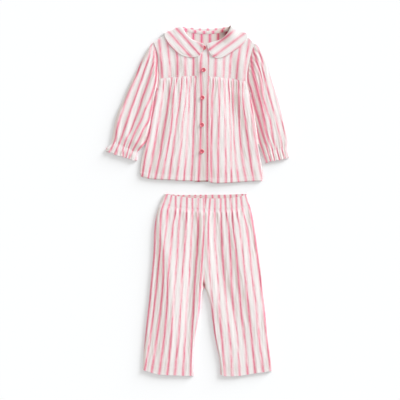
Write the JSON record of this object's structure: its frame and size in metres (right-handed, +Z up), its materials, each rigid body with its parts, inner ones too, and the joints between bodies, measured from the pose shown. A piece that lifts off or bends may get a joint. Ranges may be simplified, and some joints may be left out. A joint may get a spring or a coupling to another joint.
{
  "type": "child's pyjama set laid out flat",
  "caption": "Striped cotton pyjama set laid out flat: a gathered, buttoned top with a round collar above straight pull-on trousers.",
  "frame": {"origin": "on the surface that the set lies on, under the middle of its bounding box", "axes": "+Z up from the surface, +Y along the set from the trousers' hems to the collar, +X to the right as seen from above"},
  "size_m": [0.457, 0.8771, 0.0083],
  "materials": {
    "striped_cotton": "matt woven cotton, off-white with pink stripes",
    "coral_plastic": "polished coral plastic"
  },
  "bodies": {
    "root": {"top_back": "striped_cotton", "yoke_left": "striped_cotton", "yoke_right": "striped_cotton", "front_left": "striped_cotton", "front_right": "striped_cotton", "placket": "striped_cotton", "under_placket": "striped_cotton", "collar_left": "striped_cotton", "collar_right": "striped_cotton", "neck_binding": "striped_cotton", "sleeve_left": "striped_cotton", "sleeve_right": "striped_cotton", "leg_left": "striped_cotton", "leg_right": "striped_cotton", "button_1": "coral_plastic", "button_2": "coral_plastic", "button_3": "coral_plastic", "button_4": "coral_plastic", "button_5": "coral_plastic"}
  },
  "joints": []
}
